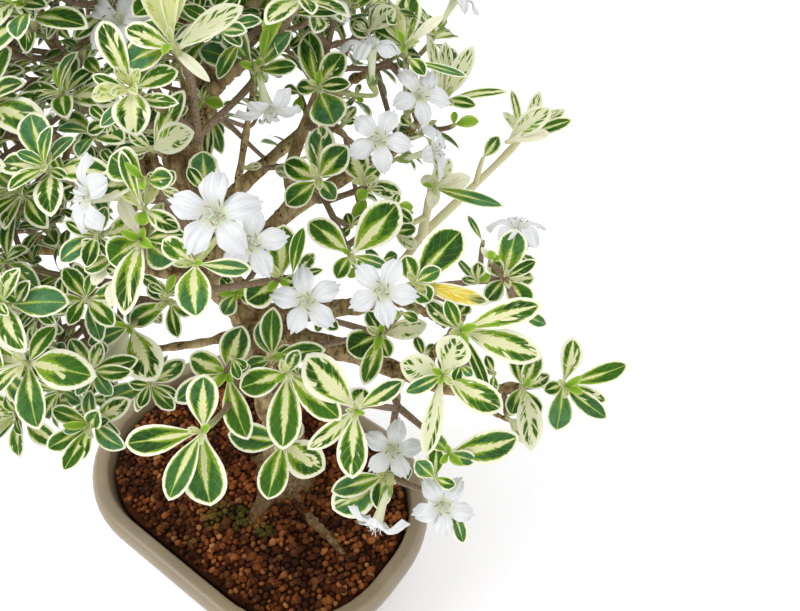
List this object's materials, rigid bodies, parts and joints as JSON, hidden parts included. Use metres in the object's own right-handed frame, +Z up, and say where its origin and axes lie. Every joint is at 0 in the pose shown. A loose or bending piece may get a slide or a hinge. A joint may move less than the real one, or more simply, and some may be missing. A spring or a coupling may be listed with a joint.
{
  "type": "potted serissa bonsai",
  "caption": "Variegated serissa bonsai in flower, a branching trunk with leafy shoots and white funnel blooms, planted in granular soil in an oval-cornered glazed pot.",
  "frame": {"origin": "on the ground under the middle of the part's outline", "axes": "+Z up; X along the pot's long side; the tree's fuller side in the picture is towards +X and -Y"},
  "size_m": [0.2246, 0.1828, 0.3089],
  "materials": {
    "pot": "smooth taupe glaze, satin sheen",
    "soil": "loose reddish-brown granules, matt",
    "drain_mesh": "matt black",
    "bark": "flaky grey-brown bark",
    "foliage": "living leaves, dark green edged with cream, soft sheen",
    "petal": "white petals, matt"
  },
  "bodies": {
    "root": {"pot": "pot", "soil": "soil", "drain_mesh_left": "drain_mesh", "drain_mesh_right": "drain_mesh", "trunk": "bark", "shoot_front_left_low": "foliage", "shoot_front_middle_low": "foliage", "shoot_front_right_low": "foliage", "shoot_right_front": "foliage", "shoot_right_middle": "foliage", "shoot_right_tip": "foliage", "shoot_right_pale_shoot": "foliage", "shoot_middle_low": "foliage", "shoot_middle": "foliage", "shoot_middle_right": "foliage", "shoot_middle_high": "foliage", "shoot_high_right": "foliage", "shoot_front_high": "foliage", "shoot_left_front_low": "foliage", "shoot_front_top": "foliage", "shoot_back_right_low": "foliage", "shoot_back_low": "foliage", "shoot_back_left_low": "foliage", "shoot_left_low": "foliage", "shoot_left_front_side": "foliage", "shoot_left_front": "foliage", "shoot_right_back": "foliage", "shoot_back_right": "foliage", "shoot_back": "foliage", "shoot_back_left": "foliage", "shoot_left": "foliage", "shoot_left_high_front": "foliage", "shoot_high_back": "foliage", "shoot_high_left_back": "foliage", "shoot_high_left": "foliage", "shoot_crown": "foliage", "bloom_middle": "petal", "bloom_middle_left": "petal", "bloom_low": "petal", "bloom_low_right": "petal", "bloom_low_nodding": "petal", "bloom_upper": "petal", "bloom_upper_back": "petal", "bloom_high_right": "petal", "bloom_hanging": "petal", "bloom_high": "petal", "bloom_front": "petal", "bloom_front_behind": "petal", "bloom_front_left": "petal", "bloom_top_front": "petal", "bloom_right": "petal", "bloom_right_upright": "petal", "bloom_back_low": "petal", "bloom_left_low": "petal", "bloom_right_back": "petal", "bloom_back": "petal", "bloom_back_left": "petal", "bloom_left_high_front": "petal", "bloom_high_left_back": "petal", "bloom_crown": "petal"}
  },
  "joints": []
}
